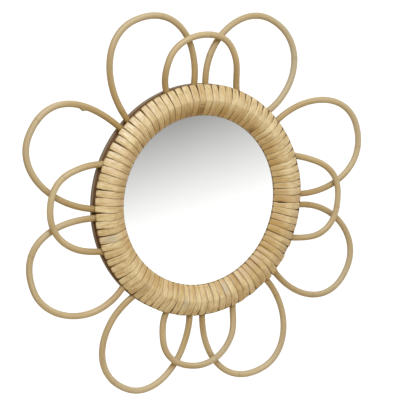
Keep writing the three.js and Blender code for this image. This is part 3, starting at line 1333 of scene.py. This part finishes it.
@dataclass
class Studio:
    """Camera, floor and light. The camera stands to the left of the mirror, a little above it.

    The room lights the mirror dimly from below and brighter from above, with a warm tint, and with plain
    light from the right and from behind. Seen directly or in the glass it is one pale tone, and it is white
    where the camera looks past the mirror. Where the glass shows the room to the camera hangs a screen that
    runs from grey to white: its light is screen_level + screen_across * x + screen_up * z for a direction
    (x, y, z), held between screen_dim and screen_bright. An edge is the pair of values between which one
    part of the room gives way to the next.
    """

    target: tuple[float, float, float] = (-0.5, -12.3, 0.86)
    distance: float = 1947.5
    azimuth: float = -29.08
    elevation: float = 8.61
    roll: float = 1.45
    lens: float = 139.55
    sensor: float = 36.0
    screen_level: float = -3.01
    screen_across: float = 4.6
    screen_up: float = -12.5
    screen_dim: float = 0.3
    screen_bright: float = 1.3
    screen_edge: tuple[float, float] = (0.94, 0.98)
    white: float = 1.12
    side_light: float = 1.0
    side_edge: tuple[float, float] = (0.65, 0.9)
    back_light: float = 0.5
    back_edge: tuple[float, float] = (0.4, 0.7)
    room_low: float = 0.29
    room_high: float = 0.62
    room_edge: tuple[float, float] = (-0.7, 0.9)
    room_shown: float = 0.8
    room_tint: str = "#FFE2A2"
    no_tint: str = "#FFFFFF"
    key_place: tuple[float, float, float] = (-600, -1450, 1600)
    key_side: float = 1500.0
    key_power: float = 55.0
    key_tint: str = "#D6E6FF"
    floor_radius: float = 2200.0
    floor_drop: float = 1250.0
    floor_corners: int = 96
    floor_colour: str = "#EFEDE8"
    floor_roughness: float = 0.8

    def camera(self) -> None:
        """Set the camera by its turn round the mirror, its height, its roll and its distance."""
        azimuth, elevation, roll = np.radians([self.azimuth, self.elevation, self.roll])
        level = np.cos(elevation)
        back = np.array([np.sin(azimuth) * level, -np.cos(azimuth) * level, np.sin(elevation)])
        right = np.array([np.cos(azimuth), np.sin(azimuth), 0.0])
        up = np.cross(back, right)
        rolled_right = np.cos(roll) * right + np.sin(roll) * up
        rolled_up = -np.sin(roll) * right + np.cos(roll) * up
        data = bpy.data.cameras.new("camera")
        data.lens = self.lens
        data.sensor_width = self.sensor
        camera = bpy.data.objects.new("camera", data)
        turn = Matrix(np.stack([rolled_right, rolled_up, back], axis=1).tolist()).to_4x4()
        eye = (np.array(self.target) + self.distance * back) * MM
        camera.matrix_world = Matrix.Translation(Vector(eye.tolist())) @ turn
        bpy.context.scene.collection.objects.link(camera)
        bpy.context.scene.camera = camera

    def room(self) -> None:
        """Light the scene all round: dim below, brighter above, white behind, and the screen in front."""
        world = bpy.data.worlds.new("studio")
        bpy.context.scene.world = world
        world.use_nodes = True
        tree = world.node_tree
        tree.nodes.clear()
        azimuth, elevation = np.radians([self.azimuth, self.elevation])
        level = np.cos(elevation)
        # The direction in which the glass sends the camera's view.
        facing = (-np.sin(azimuth) * level, -np.cos(azimuth) * level, -np.sin(elevation))
        way = add_node(tree, "ShaderNodeTexCoord", {}).outputs["Generated"]
        x, y, z = add_node(tree, "ShaderNodeSeparateXYZ", {0: way}).outputs
        across = add_node(tree, "ShaderNodeMath", {
            0: x, 1: self.screen_across, 2: self.screen_level}, operation="MULTIPLY_ADD")
        slope = add_node(tree, "ShaderNodeMath", {
            0: z, 1: self.screen_up, 2: across.outputs[0]}, operation="MULTIPLY_ADD")
        screen = add_node(tree, "ShaderNodeClamp", {
            0: slope.outputs[0], 1: self.screen_dim, 2: self.screen_bright})
        towards = add_node(tree, "ShaderNodeVectorMath", {0: way, 1: facing}, operation="DOT_PRODUCT")
        edges = {
            "screen": (towards.outputs["Value"], self.screen_edge),
            "back": (y, self.back_edge),
            "side": (x, self.side_edge)}
        share = {}
        for name, (value, (start, end)) in edges.items():
            ramp = add_node(tree, "ShaderNodeMapRange", {"Value": value, "From Min": start, "From Max": end})
            share[name] = ramp.outputs[0]
        behind = add_node(tree, "ShaderNodeMath", {
            0: share["back"], 1: share["side"]}, operation="MAXIMUM").outputs[0]
        lit = add_node(tree, "ShaderNodeMix", {
            0: share["back"], 2: self.side_light, 3: self.back_light}, data_type="FLOAT")
        ray = add_node(tree, "ShaderNodeLightPath", {})
        seen = ray.outputs["Is Camera Ray"]
        shown = add_node(tree, "ShaderNodeMath", {
            0: seen, 1: ray.outputs["Is Glossy Ray"]}, operation="MAXIMUM").outputs[0]
        wall = add_node(tree, "ShaderNodeMix", {
            0: seen, 2: lit.outputs[0], 3: self.white}, data_type="FLOAT")
        low, high = self.room_edge
        walls = add_node(tree, "ShaderNodeMapRange", {
            "Value": z, "From Min": low, "From Max": high,
            "To Min": self.room_low, "To Max": self.room_high})
        pale = add_node(tree, "ShaderNodeMix", {
            0: shown, 2: walls.outputs[0], 3: self.room_shown}, data_type="FLOAT")
        front = add_node(tree, "ShaderNodeMix", {
            0: share["screen"], 2: pale.outputs[0], 3: screen.outputs[0]}, data_type="FLOAT")
        light = add_node(tree, "ShaderNodeMix", {
            0: behind, 2: front.outputs[0], 3: wall.outputs[0]}, data_type="FLOAT")
        neutral = add_node(tree, "ShaderNodeMath", {0: share["screen"], 1: behind}, operation="MAXIMUM")
        plain = add_node(tree, "ShaderNodeMath", {0: neutral.outputs[0], 1: shown}, operation="MAXIMUM")
        tint = add_node(tree, "ShaderNodeMix", {
            0: plain.outputs[0], 6: to_linear(self.room_tint), 7: to_linear(self.no_tint)}, data_type="RGBA")
        shade = add_node(tree, "ShaderNodeBackground", {
            "Color": tint.outputs[2], "Strength": light.outputs[0]})
        add_node(tree, "ShaderNodeOutputWorld", {"Surface": shade.outputs[0]})

    def key_light(self) -> None:
        """Hang a large soft lamp above and in front, aimed at the mirror."""
        data = bpy.data.lights.new("key_light", "AREA")
        data.size = self.key_side * MM
        data.energy = self.key_power
        data.color = to_linear(self.key_tint)[:3]
        lamp = bpy.data.objects.new("key_light", data)
        lamp.location = Vector(self.key_place) * MM
        lamp.rotation_euler = lamp.location.to_track_quat("Z", "Y").to_euler()
        bpy.context.scene.collection.objects.link(lamp)

    def floor(self) -> None:
        """Lay a plain pale round floor well below the mirror."""
        made, tree = new_material("pale_floor")
        shader = add_node(tree, "ShaderNodeBsdfPrincipled", {
            "Base Color": to_linear(self.floor_colour), "Roughness": self.floor_roughness})
        add_node(tree, "ShaderNodeOutputMaterial", {"Surface": shader.outputs[0]})
        angle = np.linspace(0, FULL_TURN, self.floor_corners, endpoint=False)
        x = self.floor_radius * np.cos(angle) * MM
        y = self.floor_radius * np.sin(angle) * MM
        corners = np.stack([x, y, np.full(len(angle), -self.floor_drop * MM)], axis=1)
        mesh = bpy.data.meshes.new("floor")
        mesh.from_pydata(corners.tolist(), [], [list(range(len(angle)))])
        mesh.materials.append(made)
        floor = bpy.data.objects.new("floor", mesh)
        bpy.context.scene.collection.objects.link(floor)

    def build(self) -> None:
        """Set up the camera, the room, the lamp and the floor, and show colours as they are."""
        self.camera()
        self.room()
        self.key_light()
        self.floor()
        bpy.context.scene.view_settings.view_transform = "Standard"


def main() -> None:
    """Build the studio and the mirror's pieces in order, and report each piece's faces."""
    logging.basicConfig(level=logging.INFO)
    Studio().build()
    pieces = [BackingBoard().build(), MirrorGlass().build(), WrappedRing().build(), *Petals().build()]
    for piece in pieces:
        LOG.info("%s: %d faces", piece.name, len(piece.data.polygons))


if __name__ == "__main__":
    main()
